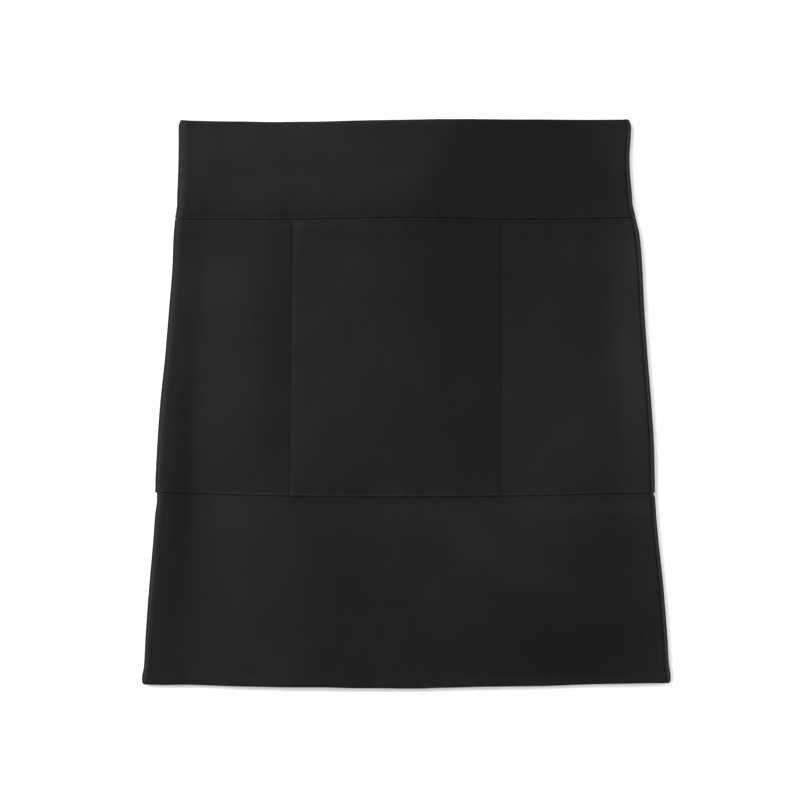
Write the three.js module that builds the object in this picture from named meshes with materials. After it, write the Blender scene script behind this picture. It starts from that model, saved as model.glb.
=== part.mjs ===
// A black waist apron, laid on its back with both sides folded behind it.
// It is one rectangular panel of cloth under a wide waistband, with a full-width pocket over the upper part that
// two lines of stitching divide into three compartments, and a tie sewn into each end of the waistband.
// Millimetres. +X is the viewer's right, +Y runs from the hem to the waist, +Z is up off the surface that it lies on.
// The origin is on that surface, under the middle of the apron.
import * as THREE from "three";

// Cloth
const CLOTH = 1.0; // one layer of twill
const CLEARANCE = 0.3; // between two layers that lie on each other

// Front view
const HEM_WIDTH = 476.3; // across the hem, between the side folds
const WAIST_WIDTH = 407.6; // across the top of the waistband
const WAIST_GAP = 104; // behind, between the two folded sides
const SKIRT_LENGTH = 424.3; // hem to waist seam
const BAND_HEIGHT = 87.8; // waist seam to top edge
const POCKET_DEPTH = 251.3; // pocket mouth to pocket foot
const MOUTH_GAP = 0.6; // between the waistband's lower edge and the pocket mouth
const LEFT_DIVIDER = 102; // from the middle of the apron, at the mouth
const RIGHT_DIVIDER = 86.5; // from the middle of the apron
const DIVIDER_LEAN = 2.6; // how much further out the left divider is at the pocket's foot
const EDGE_BOW = 4; // how far a straight edge bows where the cloth is eased
const WAIST_CORNER = 7; // rounding of the waistband's two upper corners
const HEM_CORNER = 3; // rounding of the hem's two corners

// Height off the surface
const LEFT_FOLD_RADIUS = 4.8; // the roll of cloth along the left side
const RIGHT_FOLD_RADIUS = 5.4; // the roll of cloth along the right side
const SWELL = 2.7; // how far one swell can lift the front above its two side folds
const POCKET_PUFF = 1.4; // how far the pocket stands off the panel in the middle of a compartment

// Making up
const HEM_TURN = 11; // height of the turned-up hem
const POCKET_HEM = 10.8; // height of the doubled cloth along the pocket mouth
const RIDGE = 0.5; // how much further out that doubled cloth stands
const SEAM_LAP = 12; // how far the panel and the waistband's plies overlap
const PLY_REST = 0.2; // half the space between the waistband's plies where nothing lies between them
const TIE_WIDTH = 25;
const TIE_THICKNESS = 1.0;
const TIE_LENGTH = 450; // of one tie, from inside the waistband to its end
const TIE_TUCK = 15; // how far a tie reaches into the end of the waistband
const TIE_REACH = 38; // from the end of the waistband to the middle of the hanging stretch

// The side folds, a row for each section. up: share of the skirt's length above the hem, and past 1 of the waistband's
// height above the seam. left, right: how far that side has come in from half the hem's width to half the waist's.
// leftFold, rightFold: share of that fold's radius.
const SECTIONS = [
  { up: 0.0, left: 0.0, right: 0.0, leftFold: 0.92, rightFold: 1.2 },
  { up: 0.016, left: 0.0, right: 0.0, leftFold: 0.92, rightFold: 1.2 },
  { up: 0.035, left: 0.045, right: 0.034, leftFold: 0.92, rightFold: 1.2 },
  { up: 0.1, left: 0.09, right: 0.085, leftFold: 0.94, rightFold: 1.15 },
  { up: 0.2, left: 0.18, right: 0.18, leftFold: 0.96, rightFold: 1.1 },
  { up: 0.3, left: 0.29, right: 0.31, leftFold: 0.98, rightFold: 1.05 },
  { up: 0.358, left: 0.344, right: 0.375, leftFold: 1.0, rightFold: 1.05 },
  { up: 0.392, left: 0.393, right: 0.4, leftFold: 1.0, rightFold: 1.0 },
  { up: 0.41, left: 0.35, right: 0.407, leftFold: 1.0, rightFold: 1.0 },
  { up: 0.5, left: 0.395, right: 0.43, leftFold: 1.0, rightFold: 1.0 },
  { up: 0.6, left: 0.48, right: 0.505, leftFold: 1.0, rightFold: 1.0 },
  { up: 0.7, left: 0.605, right: 0.6, leftFold: 1.0, rightFold: 1.0 },
  { up: 0.8, left: 0.705, right: 0.685, leftFold: 1.0, rightFold: 1.05 },
  { up: 0.9, left: 0.8, right: 0.745, leftFold: 1.0, rightFold: 1.1 },
  { up: 0.96, left: 0.828, right: 0.81, leftFold: 1.05, rightFold: 1.05 },
  { up: 1.0, left: 0.868, right: 0.912, leftFold: 1.1, rightFold: 1.0 },
  { up: 1.25, left: 0.943, right: 1.032, leftFold: 1.2, rightFold: 0.95 },
  { up: 1.58, left: 0.962, right: 1.082, leftFold: 1.2, rightFold: 0.95 },
  { up: 1.9, left: 0.962, right: 1.035, leftFold: 1.1, rightFold: 0.95 },
  { up: 2.0, left: 0.962, right: 1.035, leftFold: 1.1, rightFold: 0.95 },
];

// How the lines across the apron bow, in shares of EDGE_BOW. up as in SECTIONS; the other columns run from the left
// side fold to the right one.
const BOWS = [
  { up: 0.0, left: 0.8, midLeft: 0.28, middle: 0.0, midRight: 0.4, right: 1.15 },
  { up: 0.406, left: 1.0, midLeft: 0.2, middle: 0.0, midRight: 0.2, right: 0.9 },
  { up: 1.0, left: -0.35, midLeft: -0.45, middle: 0.0, midRight: -0.45, right: 0.0 },
  { up: 2.0, left: -0.05, midLeft: -0.58, middle: -0.08, midRight: 0.0, right: 0.0 },
];
const BOW_COLUMNS = [
  { column: "left", across: -1 },
  { column: "midLeft", across: -0.45 },
  { column: "middle", across: 0 },
  { column: "midRight", across: 0.4 },
  { column: "right", across: 1 },
];

// The swells and hollows of the front. across, wide, tall: shares of half the hem's width. up: share of the whole
// height. turn: degrees anticlockwise. rise: share of SWELL.
const SWELLS = [
  { across: 0.13, up: 0.99, wide: 0.37, tall: 0.32, turn: 27, rise: 0.82 }, // top edge, right of the middle
  { across: -0.16, up: 1.01, wide: 0.5, tall: 0.14, turn: 9, rise: 0.84 }, // top edge, left half
  { across: 0.23, up: 0.98, wide: 0.46, tall: 0.23, turn: -34, rise: 0.82 }, // waistband, right half
  { across: 0.45, up: 0.95, wide: 0.5, tall: 0.14, turn: -36, rise: 1.05 }, // slanting ridge across it
  { across: -0.04, up: 0.92, wide: 0.5, tall: 0.27, turn: 41, rise: 0.8 }, // swell over the waist seam
  { across: 0.09, up: 0.85, wide: 0.14, tall: 0.3, turn: -18, rise: 0.36 }, // by the middle pocket's mouth
  { across: 0.57, up: 0.69, wide: 0.5, tall: 0.37, turn: 4, rise: -1 }, // broad sag, right pocket
  { across: 0.52, up: 0.66, wide: 0.28, tall: 0.53, turn: -21, rise: -0.8 }, // its deepest part
  { across: 0.97, up: 0.44, wide: 0.24, tall: 0.84, turn: -6, rise: -0.56 }, // hollow beside the right fold
  { across: -0.58, up: 0.58, wide: 0.15, tall: 0.68, turn: -5, rise: 0.34 }, // long swell, left pocket
  { across: -0.74, up: 0.41, wide: 0.14, tall: 0.8, turn: -3, rise: -0.62 }, // trough beside the left fold
  { across: 0.75, up: 0.55, wide: 0.23, tall: 0.84, turn: -42, rise: -0.79 }, // the sag's lower end
  { across: -0.6, up: 0.34, wide: 0.5, tall: 0.14, turn: -5, rise: -0.18 }, // dip across the pocket's foot
  { across: 0.49, up: 0.18, wide: 0.5, tall: 0.14, turn: -27, rise: 1.12 }, // slanting ridge over the hem
  { across: 0.6, up: 0.01, wide: 0.5, tall: 0.14, turn: -3, rise: -1.12 }, // hem, right half, lies low
  { across: -0.4, up: -0.03, wide: 0.23, tall: 0.84, turn: 0, rise: 0.8 }, // long swell from the hem up
];

// Shares of the front's width over which the side folds run down into it
const LEFT_SHOULDER = 0.07;
const RIGHT_SHOULDER = 0.075;

// Where the wrap coordinate q changes from one stretch of the apron to the next
const [LEFT_EDGE, LEFT_TURN, LEFT_TOP, FIRST_DIVIDER, SECOND_DIVIDER, RIGHT_TOP, RIGHT_TURN, RIGHT_EDGE] =
  Array(8).keys();

// Steps between two such places
const FLAP_STEPS = 3;
const FOLD_STEPS = 7;
const SIDE_COMPARTMENT_STEPS = 6;
const MIDDLE_COMPARTMENT_STEPS = 8;
const ROW_HEIGHT = 32; // the most between two rows

const FLAT_WIDTH = 2 * WAIST_WIDTH - WAIST_GAP; // all three layers, spread flat from side to side
const TOP = SKIRT_LENGTH + BAND_HEIGHT;
const POCKET_MOUTH = SKIRT_LENGTH - MOUTH_GAP;
const POCKET_FOOT = POCKET_MOUTH - POCKET_DEPTH;
const OVER_PANEL = CLOTH / 2 + CLEARANCE; // inner face of a layer that lies on the panel
const COVERED = OVER_PANEL + CLOTH; // outer face of that layer
const BACK_LEVEL = Math.max(COVERED, 1.5 * TIE_THICKNESS + CLEARANCE); // the panel's middle, where it lies behind
const TIE_OPENING = Math.max(OVER_PANEL, TIE_THICKNESS / 2 + CLEARANCE);
const TIE_SHARE = (TIE_TUCK + 2 * CLOTH) / ((FLAT_WIDTH - WAIST_WIDTH) / 2); // of the waistband's flap behind
const MIDDLE_Y = TOP / 2;

const clamp = (value) => Math.min(1, Math.max(0, value));
const mix = (a, b, share) => a + (b - a) * share;
const smooth = (value) => {
  const t = clamp(value);
  return t * t * t * (t * (6 * t - 15) + 10);
};

// A smooth curve through points that stays between each two of them.
function curveThrough(points) {
  const slope = points.slice(1).map(([x, y], i) => (y - points[i][1]) / (x - points[i][0]));
  const tangent = points.map((_, i) => {
    if (i === 0 || i === points.length - 1) return 0;
    const [before, after] = [slope[i - 1], slope[i]];
    return before * after > 0 ? (2 * before * after) / (before + after) : 0;
  });
  return (x) => {
    const at = points.findIndex(([right], i) => i > 0 && x <= right);
    if (at < 0) return points[points.length - 1][1];
    const [[x0, y0], [x1, y1]] = [points[at - 1], points[at]];
    const span = x1 - x0;
    const t = clamp((x - x0) / span);
    const [t2, t3] = [t * t, t * t * t];
    return (
      y0 * (2 * t3 - 3 * t2 + 1) +
      y1 * (3 * t2 - 2 * t3) +
      span * (tangent[at - 1] * (t3 - 2 * t2 + t) + tangent[at] * (t3 - t2))
    );
  };
}

// Curves for the named columns of a table whose rows are placed by up.
function columnsOf(table, names) {
  return Object.fromEntries(
    names.map((name) => [name, curveThrough(table.map((row) => [row.up, row[name]]))]),
  );
}

const section = columnsOf(SECTIONS, ["left", "right", "leftFold", "rightFold"]);
const bow = columnsOf(BOWS, BOW_COLUMNS.map(({ column }) => column));

// Height v above the hem in the tables' measure: 0 to 1 on the skirt, 1 to 2 on the waistband.
function upAt(v) {
  return v < SKIRT_LENGTH ? v / SKIRT_LENGTH : 1 + (v - SKIRT_LENGTH) / BAND_HEIGHT;
}

// How far a rounded corner has come in at a distance from the edge it meets.
function cornerInset(radius, distance) {
  const left = Math.max(0, radius - Math.max(0, distance));
  return radius - Math.sqrt(radius * radius - left * left * 0.98);
}

// Half the space between the waistband's plies: wide over the panel and round a tie, closed elsewhere.
function plyOpening(q, v) {
  const overLap = 1 - smooth((v - SKIRT_LENGTH - SEAM_LAP - CLOTH) / (SEAM_LAP / 2));
  const fromEnd = Math.min(q - LEFT_EDGE, RIGHT_EDGE - q) / TIE_SHARE;
  const roundTie = 1 - smooth((fromEnd - 1) / 2);
  const opening = mix(PLY_REST, OVER_PANEL, overLap);
  return mix(opening, TIE_OPENING, roundTie * (1 - overLap));
}

// How far the outermost layer stands off the panel's middle at a height.
function standOff(v) {
  if (v > SKIRT_LENGTH) return plyOpening(FIRST_DIVIDER, v) + CLOTH;
  return mix(CLOTH / 2, COVERED, smooth(1 + (v - POCKET_FOOT) / (HEM_TURN / 2)));
}

// Everything that is the same along one height.
function heightFacts(v) {
  const up = upAt(v);
  const halfHem = HEM_WIDTH / 2;
  const taper = (WAIST_WIDTH - HEM_WIDTH) / 2;
  const inset = cornerInset(WAIST_CORNER, TOP - v) + cornerInset(HEM_CORNER, v) + standOff(v);
  const back = mix(CLOTH / 2, BACK_LEVEL, smooth(1 + (v - POCKET_FOOT) / (4 * HEM_TURN)));
  const leftRadius = LEFT_FOLD_RADIUS * section.leftFold(up);
  const rightRadius = RIGHT_FOLD_RADIUS * section.rightFold(up);
  const leftAxis = -(halfHem + taper * section.left(up) - inset) + leftRadius;
  const rightAxis = halfHem + taper * section.right(up) - inset - rightRadius;
  const flap = (FLAT_WIDTH - (rightAxis - leftAxis) - Math.PI * (leftRadius + rightRadius)) / 2;
  const lean = DIVIDER_LEAN * clamp((SKIRT_LENGTH - v) / POCKET_DEPTH);
  return {
    up,
    back,
    leftRadius,
    rightRadius,
    leftAxis,
    rightAxis,
    flap,
    leftDivider: -LEFT_DIVIDER - lean,
    rightDivider: RIGHT_DIVIDER,
  };
}

// Height of the panel's middle over the surface, on the front.
function frontHeight(x, v, facts) {
  const { back, leftRadius, rightRadius, leftAxis, rightAxis } = facts;
  const share = (x - leftAxis) / (rightAxis - leftAxis);
  const ends = back + 2 * mix(leftRadius, rightRadius, smooth(share));
  const fade = smooth(share / LEFT_SHOULDER) * smooth((1 - share) / RIGHT_SHOULDER);
  const swell = SWELLS.reduce((sum, s) => {
    const [dx, dy] = [x - (s.across * HEM_WIDTH) / 2, v - s.up * TOP];
    const angle = THREE.MathUtils.degToRad(s.turn);
    const along = (dx * Math.cos(angle) + dy * Math.sin(angle)) / ((s.wide * HEM_WIDTH) / 2);
    const beside = (dy * Math.cos(angle) - dx * Math.sin(angle)) / ((s.tall * HEM_WIDTH) / 2);
    return sum + s.rise * Math.exp(-along * along - beside * beside);
  }, 0);
  return ends + SWELL * swell * fade;
}

// The panel's middle surface. q runs round the apron, from its left edge behind, over the front, to its right edge.
function surface(q, v) {
  const facts = heightFacts(v);
  const { back, leftRadius, rightRadius, leftAxis, rightAxis, flap, leftDivider, rightDivider } = facts;
  const stops = [leftAxis + flap, leftAxis, leftAxis, leftDivider, rightDivider, rightAxis, rightAxis, rightAxis - flap];
  const at = Math.min(RIGHT_TURN, Math.max(LEFT_EDGE, Math.floor(q)));
  const share = q - at;
  let x = mix(stops[at], stops[at + 1], share);
  let z = back;
  if (at === LEFT_TURN) {
    x = leftAxis - leftRadius * Math.sin(Math.PI * share);
    z = back + leftRadius * (1 - Math.cos(Math.PI * share));
  } else if (at === RIGHT_TOP) {
    x = rightAxis + rightRadius * Math.sin(Math.PI * share);
    z = back + rightRadius * (1 + Math.cos(Math.PI * share));
  } else if (at >= LEFT_TOP && at < RIGHT_TOP) {
    z = frontHeight(x, v, facts);
  }
  const across = x / (HEM_WIDTH / 2);
  const lift = curveThrough(BOW_COLUMNS.map((c) => [c.across, bow[c.column](facts.up)]))(across);
  return new THREE.Vector3(x, v - MIDDLE_Y + EDGE_BOW * lift, z);
}

// A point at distance n off the panel's middle, out of the front and round behind.
function offSurface(q, v, n) {
  const [dq, dv] = [0.01, CLOTH];
  const [q0, q1] = [Math.max(LEFT_EDGE, q - dq), Math.min(RIGHT_EDGE, q + dq)];
  const along = surface(q1, v).sub(surface(q0, v));
  const up = surface(q, v + dv).sub(surface(q, v - dv));
  const normal = along.cross(up).normalize();
  return surface(q, v).addScaledVector(normal, n);
}

// How far the pocket stands off the panel: nothing along its stitching, most in the middle of a compartment.
function pocketPuff(q, v) {
  if (q <= LEFT_TOP || q >= RIGHT_TOP) return 0;
  const share = q - Math.floor(q);
  const ends = Math.floor(q) === LEFT_TOP ? smooth(2 * share) : Math.floor(q) === SECOND_DIVIDER ? smooth(2 - 2 * share) : 1;
  const up = (v - POCKET_FOOT) / POCKET_DEPTH;
  const alongHeight = Math.sin((Math.PI / 2) * clamp(up * 3)) * mix(1, 0.5, smooth((up - 0.6) / 0.4));
  return POCKET_PUFF * Math.sin(Math.PI * share) * ends * alongHeight;
}

// Evenly spaced heights from a to b, both included.
function rows(a, b, step = ROW_HEIGHT) {
  const count = Math.max(1, Math.ceil((b - a) / step));
  return Array.from({ length: count + 1 }, (_, i) => mix(a, b, i / count));
}

// Heights where the pocket has its points, and the panel behind it too.
const POCKET_ROWS = [
  ...rows(POCKET_FOOT, POCKET_MOUTH - POCKET_HEM),
  POCKET_MOUTH - POCKET_HEM + CLOTH,
  POCKET_MOUTH,
];

// Places round the apron where every layer has its points, so that layers that lie together follow each other.
const STATIONS = [
  LEFT_EDGE,
  ...rows(LEFT_EDGE + TIE_SHARE, LEFT_TURN, 1 / FLAP_STEPS).slice(0, -1),
  ...rows(LEFT_TURN, LEFT_TOP, 1 / FOLD_STEPS).slice(0, -1),
  ...rows(LEFT_TOP, FIRST_DIVIDER, 1 / SIDE_COMPARTMENT_STEPS).slice(0, -1),
  ...rows(FIRST_DIVIDER, SECOND_DIVIDER, 1 / MIDDLE_COMPARTMENT_STEPS).slice(0, -1),
  ...rows(SECOND_DIVIDER, RIGHT_TOP, 1 / SIDE_COMPARTMENT_STEPS).slice(0, -1),
  ...rows(RIGHT_TOP, RIGHT_TURN, 1 / FOLD_STEPS).slice(0, -1),
  ...rows(RIGHT_TURN, RIGHT_EDGE - TIE_SHARE, 1 / FLAP_STEPS),
  RIGHT_EDGE,
];

// A closed wall of cloth. Each section is a list of pairs of points, one on the outer face and one on the inner.
function wall(sections) {
  const width = sections[0].length;
  const positions = sections.flat(2).flatMap((p) => [p.x, p.y, p.z]);
  const outer = (i, j) => 2 * (i * width + j);
  const inner = (i, j) => outer(i, j) + 1;
  const faces = [];
  const quad = (a, b, c, d) => faces.push([a, b, c], [a, c, d]);
  const [lastI, lastJ] = [sections.length - 1, width - 1];
  for (let i = 0; i < lastI; i++) {
    for (let j = 0; j < lastJ; j++) {
      quad(outer(i, j), outer(i, j + 1), outer(i + 1, j + 1), outer(i + 1, j));
      faces.push([inner(i, j), inner(i + 1, j + 1), inner(i, j + 1)]);
      faces.push([inner(i, j), inner(i + 1, j), inner(i + 1, j + 1)]);
    }
    quad(outer(i, 0), outer(i + 1, 0), inner(i + 1, 0), inner(i, 0));
    quad(outer(i + 1, lastJ), outer(i, lastJ), inner(i, lastJ), inner(i + 1, lastJ));
  }
  for (let j = 0; j < lastJ; j++) {
    quad(outer(0, j + 1), outer(0, j), inner(0, j), inner(0, j + 1));
    quad(outer(lastI, j), outer(lastI, j + 1), inner(lastI, j + 1), inner(lastI, j));
  }
  return outwards(positions, faces);
}

// Turns the faces outwards, whichever way the sections ran.
function outwards(positions, faces) {
  const point = (i) => new THREE.Vector3().fromArray(positions, 3 * i);
  const volume = faces.reduce((sum, [a, b, c]) => sum + point(a).dot(point(b).cross(point(c))), 0);
  const geometry = new THREE.BufferGeometry();
  geometry.setAttribute("position", new THREE.Float32BufferAttribute(positions, 3));
  geometry.setIndex(volume < 0 ? faces.flatMap(([a, b, c]) => [a, c, b]) : faces.flat());
  geometry.computeVertexNormals();
  return geometry;
}

// A layer of cloth round the apron. profile gives its wall at a station as pairs of [v, n] points.
function layer(profile) {
  return wall(STATIONS.map((q) => profile(q).map((pair) => pair.map(([v, n]) => offSurface(q, v, n)))));
}

// The main panel, with its hem turned up behind it and its upper edge inside the waistband.
function panelProfile() {
  const half = CLOTH / 2;
  const below = rows(HEM_TURN, POCKET_FOOT - HEM_TURN / 2);
  const heights = [...below, ...POCKET_ROWS, SKIRT_LENGTH + SEAM_LAP];
  return [
    ...[0, HEM_CORNER, HEM_TURN - half].map((v) => [[v, half], [v, -half - CLOTH]]),
    ...heights.map((v) => [[v, half], [v, -half]]),
  ];
}

// 1 on the front, falling to 0 round the side folds.
function onFront(q) {
  return smooth(q - LEFT_TURN) * smooth(RIGHT_TURN - q);
}

// The pocket, sewn down at its foot and along its two dividers, and open along its mouth.
function pocketProfile(q) {
  return POCKET_ROWS.map((v) => {
    const puff = pocketPuff(q, v);
    const ridge = v > POCKET_MOUTH - POCKET_HEM ? RIDGE * onFront(q) : 0;
    return [[v, COVERED + puff + ridge], [v, OVER_PANEL + puff]];
  });
}

// The waistband: one cloth folded over at the top, whose two plies hold the panel's upper edge and the ties.
function bandProfile(q) {
  const lapTop = SKIRT_LENGTH + SEAM_LAP + CLOTH;
  const free = rows(lapTop + SEAM_LAP, TOP - WAIST_CORNER);
  const heights = [SKIRT_LENGTH, ...rows(lapTop, lapTop + SEAM_LAP / 2), ...free];
  const front = heights.map((v) => [[v, plyOpening(q, v) + CLOTH], [v, plyOpening(q, v)]]);
  const back = front.map((pair) => pair.map(([v, n]) => [v, -n])).reverse();
  const [inside, outside] = [plyOpening(q, TOP), plyOpening(q, TOP) + CLOTH];
  const turn = rows(0, 1, 0.25).map((share) => {
    const [cos, sin] = [Math.cos(Math.PI * share), Math.sin(Math.PI * share)];
    return [outside, inside].map((radius) => [TOP - outside + radius * sin, radius * cos]);
  });
  return [...front, ...turn, ...back];
}

// One tie: out of the waistband's end, folded over on the slant, and straight down behind the apron.
// side is -1 on the left and 1 on the right.
function tieGeometry(side) {
  const end = surface(side < 0 ? LEFT_EDGE : RIGHT_EDGE, SKIRT_LENGTH + BAND_HEIGHT / 2);
  const half = TIE_WIDTH / 2;
  const [high, low] = [BACK_LEVEL, TIE_THICKNESS / 2];
  const bend = (high - low) / 2;
  const hangX = end.x - side * TIE_REACH;
  const foot = end.y - (TIE_LENGTH - TIE_TUCK - TIE_REACH);
  const [up, down] = [new THREE.Vector3(0, 0, 1), new THREE.Vector3(0, 0, -1)];
  const slant = new THREE.Vector3(-side, 1, 0).normalize();
  const across = (outerX, innerX, outerY, innerY, z) => [
    new THREE.Vector3(outerX, outerY, z),
    new THREE.Vector3(innerX, innerY, z),
  ];
  const crease = (z, out) => {
    const [dx, dy] = [-side * out, out];
    return across(hangX - side * half + dx, hangX + side * half + dx, end.y - half + dy, end.y + half + dy, z);
  };
  const stretches = [
    { edges: across(end.x + side * TIE_TUCK, end.x + side * TIE_TUCK, end.y - half, end.y + half, high), normal: up },
    { edges: crease(high, 0), normal: up },
    { edges: crease((high + low) / 2, bend / Math.SQRT2), normal: slant },
    { edges: crease(low, 0), normal: down },
    { edges: across(hangX - side * half, hangX + side * half, foot, foot, low), normal: down },
  ];
  const faces = [TIE_THICKNESS / 2, -TIE_THICKNESS / 2];
  return wall(
    stretches.map(({ edges, normal }) => edges.map((p) => faces.map((n) => p.clone().addScaledVector(normal, n)))),
  );
}

const blackTwill = new THREE.MeshStandardMaterial({ color: "#252526", roughness: 0.92, metalness: 0 });
const blackBandTwill = new THREE.MeshStandardMaterial({ color: "#232324", roughness: 0.9, metalness: 0 });
const blackTieTwill = new THREE.MeshStandardMaterial({ color: "#262627", roughness: 0.92, metalness: 0 });

function named(name, geometry, material) {
  const mesh = new THREE.Mesh(geometry, material);
  mesh.name = name;
  return mesh;
}

const apron = new THREE.Group();
apron.add(
  named("apron_panel", layer(panelProfile), blackTwill),
  named("pocket_panel", layer(pocketProfile), blackTwill),
  named("waistband", layer(bandProfile), blackBandTwill),
  named("tie_left", tieGeometry(-1), blackTieTwill),
  named("tie_right", tieGeometry(1), blackTieTwill),
);

export default apron;
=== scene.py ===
import math

import bmesh
import bpy
import numpy as np
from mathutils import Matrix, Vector


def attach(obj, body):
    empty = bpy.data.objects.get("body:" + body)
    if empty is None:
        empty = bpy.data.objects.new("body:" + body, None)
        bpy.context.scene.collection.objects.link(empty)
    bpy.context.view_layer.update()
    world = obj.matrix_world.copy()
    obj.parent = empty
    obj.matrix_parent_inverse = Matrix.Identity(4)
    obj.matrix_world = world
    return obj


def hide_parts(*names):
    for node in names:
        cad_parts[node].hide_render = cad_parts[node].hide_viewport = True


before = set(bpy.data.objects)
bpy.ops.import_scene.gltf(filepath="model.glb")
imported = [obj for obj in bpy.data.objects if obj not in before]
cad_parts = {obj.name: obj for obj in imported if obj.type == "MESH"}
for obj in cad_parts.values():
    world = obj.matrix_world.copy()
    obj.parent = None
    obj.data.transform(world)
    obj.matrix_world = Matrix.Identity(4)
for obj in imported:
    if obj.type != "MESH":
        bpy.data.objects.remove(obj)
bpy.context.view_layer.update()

# Sizes in millimetres, and the tables below: those of the solids, but for the ones that say otherwise

CLOTH = 1.0
CLEARANCE = 0.3
HEM_WIDTH = 476.3
WAIST_WIDTH = 407.6
WAIST_GAP = 104.0
SKIRT_LENGTH = 424.3
BAND_HEIGHT = 87.8
POCKET_DEPTH = 251.3
MOUTH_GAP = 0.6
LEFT_DIVIDER = 102.0
RIGHT_DIVIDER = 86.5
DIVIDER_LEAN = 2.6
EDGE_BOW = 4.0
WAIST_CORNER = 4.0  # 7.0 in the solids
HEM_CORNER = 3.0
LEFT_FOLD_RADIUS = 4.8
RIGHT_FOLD_RADIUS = 5.4
SWELL = 3.2  # 2.7 in the solids
POCKET_PUFF = 1.4
HEM_TURN = 11.0
POCKET_HEM = 15.3  # 10.8 in the solids
RIDGE = 0.08  # 0.5 in the solids
SEAM_LAP = 12.0
PLY_REST = 0.2
TIE_WIDTH = 25.0
TIE_THICKNESS = 1.0
TIE_LENGTH = 450.0
TIE_TUCK = 15.0
TIE_REACH = 38.0
MM = 1000.0  # in a metre

FLAT_WIDTH = 2 * WAIST_WIDTH - WAIST_GAP
TOP = SKIRT_LENGTH + BAND_HEIGHT
POCKET_MOUTH = SKIRT_LENGTH - MOUTH_GAP
POCKET_FOOT = POCKET_MOUTH - POCKET_DEPTH
OVER_PANEL = CLOTH / 2 + CLEARANCE
COVERED = OVER_PANEL + CLOTH
BACK_LEVEL = max(COVERED, 1.5 * TIE_THICKNESS + CLEARANCE)
TIE_OPENING = max(OVER_PANEL, TIE_THICKNESS / 2 + CLEARANCE)
TIE_SHARE = (TIE_TUCK + 2 * CLOTH) / ((FLAT_WIDTH - WAIST_WIDTH) / 2)
MIDDLE_Y = TOP / 2

# The side folds. up is a share of the skirt's height, and past 1 of the waistband's. left and right say how
# far that side has come in from half the hem's width to half the waist's, the last two are shares of the
# fold's radius.
SECTIONS = [
    # up, left, right, left fold, right fold
    (0.0, 0.0, 0.0, 0.92, 1.2),
    (0.016, 0.0, 0.0, 0.92, 1.2),
    (0.035, 0.045, 0.034, 0.92, 1.2),
    (0.1, 0.09, 0.085, 0.94, 1.15),
    (0.2, 0.18, 0.18, 0.96, 1.1),
    (0.3, 0.29, 0.31, 0.98, 1.05),
    (0.358, 0.344, 0.375, 1.0, 1.05),
    (0.392, 0.393, 0.4, 1.0, 1.0),
    (0.41, 0.35, 0.407, 1.0, 1.0),
    (0.5, 0.395, 0.43, 1.0, 1.0),
    (0.6, 0.48, 0.505, 1.0, 1.0),
    (0.7, 0.605, 0.6, 1.0, 1.0),
    (0.8, 0.705, 0.685, 1.0, 1.05),
    (0.9, 0.8, 0.745, 1.0, 1.1),
    (0.96, 0.828, 0.81, 1.05, 1.05),
    (1.0, 0.868, 0.912, 1.1, 1.0),
    (1.25, 0.943, 1.032, 1.2, 0.95),
    (1.58, 0.962, 1.082, 1.2, 0.95),
    (1.9, 0.962, 1.035, 1.1, 0.95),
    (2.0, 0.962, 1.035, 1.1, 0.95),
]
# How the lines across the apron bow, in shares of EDGE_BOW
BOWS = [
    # up, then the bow at the places across in BOWS_ACROSS
    (0.0, 0.8, 0.28, 0.0, 0.4, 1.15),
    (0.406, 1.0, 0.2, 0.0, 0.2, 0.9),
    (1.0, -0.35, -0.45, 0.0, -0.45, 0.0),
    (2.0, -0.05, -0.58, -0.08, 0.0, 0.0),
]
BOWS_ACROSS = (-1.0, -0.45, 0.0, 0.4, 1.0)
# The swells and hollows of the front. across, wide and tall are shares of half the hem's width, up of the
# whole height, turn is in degrees and rise is a share of SWELL. These rows weren't chosen by hand: a program
# fitted them to the photo's shading, all but two rises, -1.0 and -0.8. The notes were added afterwards.
SWELLS = [
    # across, up, wide, tall, turn, rise
    (0.13, 0.99, 0.37, 0.32, 27, 0.82),  # top edge, right of the middle
    (-0.16, 1.01, 0.5, 0.14, 9, 0.84),  # top edge, left half
    (0.23, 0.98, 0.46, 0.23, -34, 0.82),  # waistband, right half
    (0.45, 0.95, 0.5, 0.14, -36, 1.05),  # slanting ridge across it
    (-0.04, 0.92, 0.5, 0.27, 41, 0.8),  # swell over the waist seam
    (0.09, 0.85, 0.14, 0.3, -18, 0.36),  # by the middle pocket's mouth
    (0.57, 0.69, 0.5, 0.37, 4, -1.0),  # broad sag, right pocket
    (0.52, 0.66, 0.28, 0.53, -21, -0.8),  # its deepest part
    (0.97, 0.44, 0.24, 0.84, -6, -0.56),  # hollow beside the right fold
    (-0.58, 0.58, 0.15, 0.68, -5, 0.34),  # long swell, left pocket
    (-0.74, 0.41, 0.14, 0.8, -3, -0.62),  # trough beside the left fold
    (0.75, 0.55, 0.23, 0.84, -42, -0.79),  # the sag's lower end
    (-0.6, 0.34, 0.5, 0.14, -5, -0.18),  # dip across the pocket's foot
    (0.49, 0.18, 0.5, 0.14, -27, 1.12),  # slanting ridge over the hem
    (0.6, 0.01, 0.5, 0.14, -3, -1.12),  # hem, right half, lies low
    (-0.4, -0.03, 0.23, 0.84, 0, 0.8),  # long swell from the hem up
]
# Shares of the front's width over which it runs down into the side folds
LEFT_SHOULDER = 0.07
RIGHT_SHOULDER = 0.18  # 0.075 in the solids
# The right fold is pressed here and round in the solids. This share of its half height is how far it
# bulges sideways.
PRESS = 0.5

# What only the looks have, in millimetres

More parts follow.
